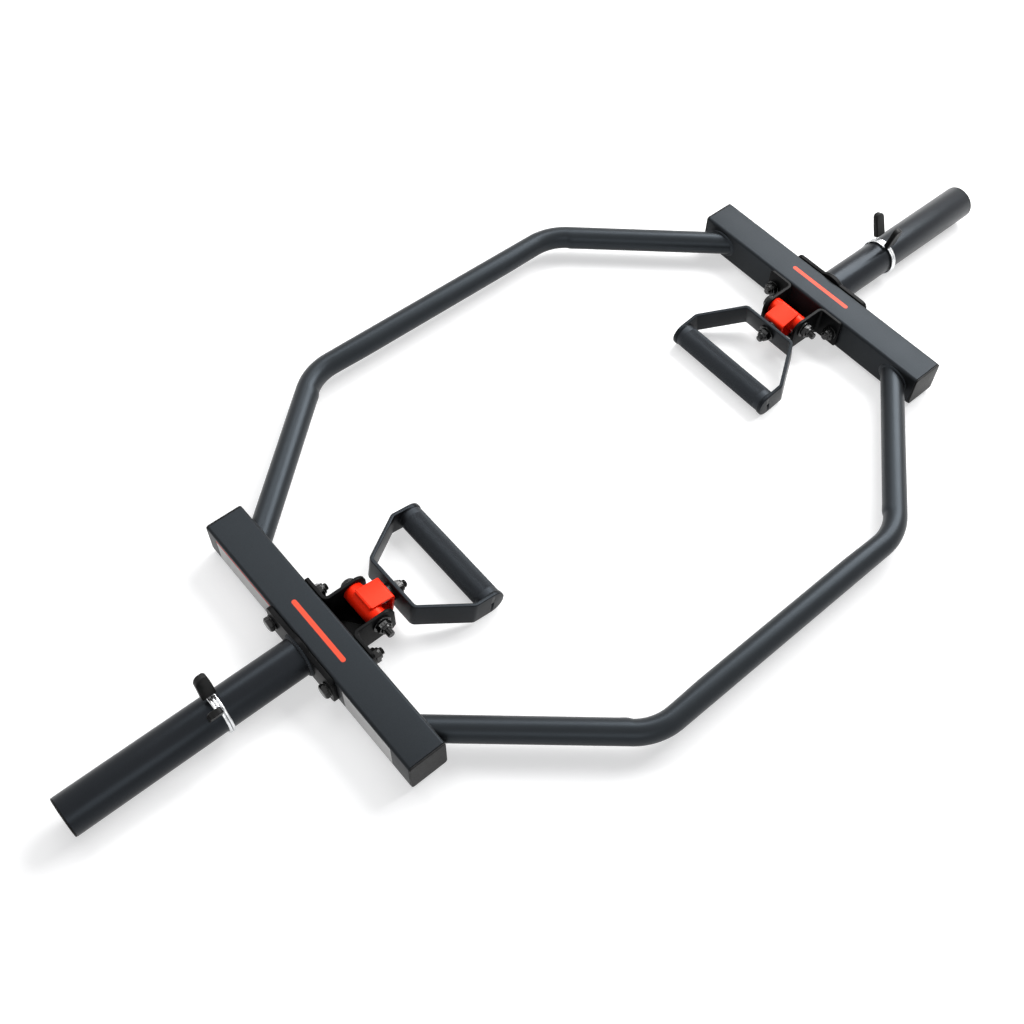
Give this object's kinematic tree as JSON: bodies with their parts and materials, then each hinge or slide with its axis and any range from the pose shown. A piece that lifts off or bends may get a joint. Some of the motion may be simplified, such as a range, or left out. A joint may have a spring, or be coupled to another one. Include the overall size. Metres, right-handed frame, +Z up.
{
  "type": "hex trap bar",
  "caption": "Hexagonal weightlifting bar with plate sleeves, tipping and swivelling inner handles, and spring collars that clamp the plates.",
  "frame": {"origin": "on the floor under the middle of the bar, at the bottom centre of its box", "axes": "+X along the plate sleeves to the lifter's right, +Y to the rear, +Z up"},
  "size_m": [1.518, 0.7082, 0.0968],
  "materials": {
    "frame_coat": "satin charcoal powder coat",
    "sleeve_coat": "satin charcoal powder coat",
    "bracket_coat": "satin black powder coat",
    "handle_coat": "satin black powder coat",
    "grip_steel": "knurled steel, black oxide",
    "red_coat": "satin red powder coat",
    "black_oxide": "black oxide",
    "bush_bronze": "sintered bronze",
    "spring_zinc": "bright zinc",
    "collar_rubber": "matt moulded",
    "cap_plastic": "moulded"
  },
  "bodies": {
    "frame": {"front_tube": "frame_coat", "rear_tube": "frame_coat", "left_beam": "frame_coat", "left_front_cap": "cap_plastic", "left_rear_cap": "cap_plastic", "left_sleeve_plate": "frame_coat", "left_sleeve": "sleeve_coat", "left_sleeve_cap": "cap_plastic", "left_sleeve_weld": "sleeve_coat", "left_frame_welds": "frame_coat", "left_pivot_bracket": "bracket_coat", "left_plate_bolts": "black_oxide", "left_plate_washers": "black_oxide", "left_plate_nuts": "black_oxide", "left_pivot_bolt": "black_oxide", "left_pivot_washers": "black_oxide", "left_pivot_nut": "black_oxide", "right_beam": "frame_coat", "right_front_cap": "cap_plastic", "right_rear_cap": "cap_plastic", "right_sleeve_plate": "frame_coat", "right_sleeve": "sleeve_coat", "right_sleeve_cap": "cap_plastic", "right_sleeve_weld": "sleeve_coat", "right_frame_welds": "frame_coat", "right_pivot_bracket": "bracket_coat", "right_plate_bolts": "black_oxide", "right_plate_washers": "black_oxide", "right_plate_nuts": "black_oxide", "right_pivot_bolt": "black_oxide", "right_pivot_washers": "black_oxide", "right_pivot_nut": "black_oxide"},
    "left_yoke": {"left_barrel": "red_coat", "left_barrel_bushes": "bush_bronze", "left_saddle": "red_coat", "left_swivel_bolt": "black_oxide", "left_swivel_washers": "black_oxide", "left_swivel_nut": "black_oxide"},
    "left_handle": {"left_handle_strap": "handle_coat", "left_hand_grip": "grip_steel", "left_grip_welds": "handle_coat"},
    "left_collar": {"left_collar_spring": "spring_zinc"},
    "left_collar_inner": {"left_collar_inner_grip": "collar_rubber"},
    "left_collar_outer": {"left_collar_outer_grip": "collar_rubber"},
    "right_yoke": {"right_barrel": "red_coat", "right_barrel_bushes": "bush_bronze", "right_saddle": "red_coat", "right_swivel_bolt": "black_oxide", "right_swivel_washers": "black_oxide", "right_swivel_nut": "black_oxide"},
    "right_handle": {"right_handle_strap": "handle_coat", "right_hand_grip": "grip_steel", "right_grip_welds": "handle_coat"},
    "right_collar": {"right_collar_spring": "spring_zinc"},
    "right_collar_inner": {"right_collar_inner_grip": "collar_rubber"},
    "right_collar_outer": {"right_collar_outer_grip": "collar_rubber"}
  },
  "joints": [
    {"name": "left_handle_tip", "type": "hinge", "parent": "frame", "child": "left_yoke", "pos_m": [-0.366, 0, 0.039], "axis": [0, -1, 0], "range_deg": [-24, 114]},
    {"name": "left_handle_swivel", "type": "hinge", "parent": "left_yoke", "child": "left_handle", "pos_m": [-0.366, 0, 0.039], "axis": [0.9852, 0, -0.1713], "continuous": true},
    {"name": "left_collar_slide", "type": "slide", "parent": "frame", "child": "left_collar", "axis": [-1, 0, 0], "range_m": [-0.085, 0.215]},
    {"name": "left_collar_squeeze", "type": "hinge", "parent": "left_collar", "child": "left_collar_inner", "pos_m": [-0.5689, 0, 0.03], "axis": [1, 0, 0], "range_deg": [0, 10], "stiffness_Nm_per_rad": 3, "deforming": ["left_collar_spring"]},
    {"name": "left_collar_squeeze_outer", "type": "hinge", "parent": "left_collar", "child": "left_collar_outer", "pos_m": [-0.5689, 0, 0.03], "axis": [1, 0, 0], "range_deg": [-10, 0], "stiffness_Nm_per_rad": 3},
    {"name": "right_handle_tip", "type": "hinge", "parent": "frame", "child": "right_yoke", "pos_m": [0.366, 0, 0.039], "axis": [0, 1, 0], "range_deg": [-24, 114]},
    {"name": "right_handle_swivel", "type": "hinge", "parent": "right_yoke", "child": "right_handle", "pos_m": [0.366, 0, 0.039], "axis": [-0.9852, 0, -0.1713], "continuous": true},
    {"name": "right_collar_slide", "type": "slide", "parent": "frame", "child": "right_collar", "axis": [1, 0, 0], "range_m": [-0.085, 0.215]},
    {"name": "right_collar_squeeze", "type": "hinge", "parent": "right_collar", "child": "right_collar_inner", "pos_m": [0.5689, 0, 0.03], "axis": [-1, 0, 0], "range_deg": [0, 10], "stiffness_Nm_per_rad": 3, "deforming": ["right_collar_spring"]},
    {"name": "right_collar_squeeze_outer", "type": "hinge", "parent": "right_collar", "child": "right_collar_outer", "pos_m": [0.5689, 0, 0.03], "axis": [-1, 0, 0], "range_deg": [-10, 0], "stiffness_Nm_per_rad": 3}
  ],
  "couplings": [
    {"joint": "left_collar_squeeze_outer", "follows": "left_collar_squeeze", "ratio": -1},
    {"joint": "right_collar_squeeze_outer", "follows": "right_collar_squeeze", "ratio": -1}
  ]
}
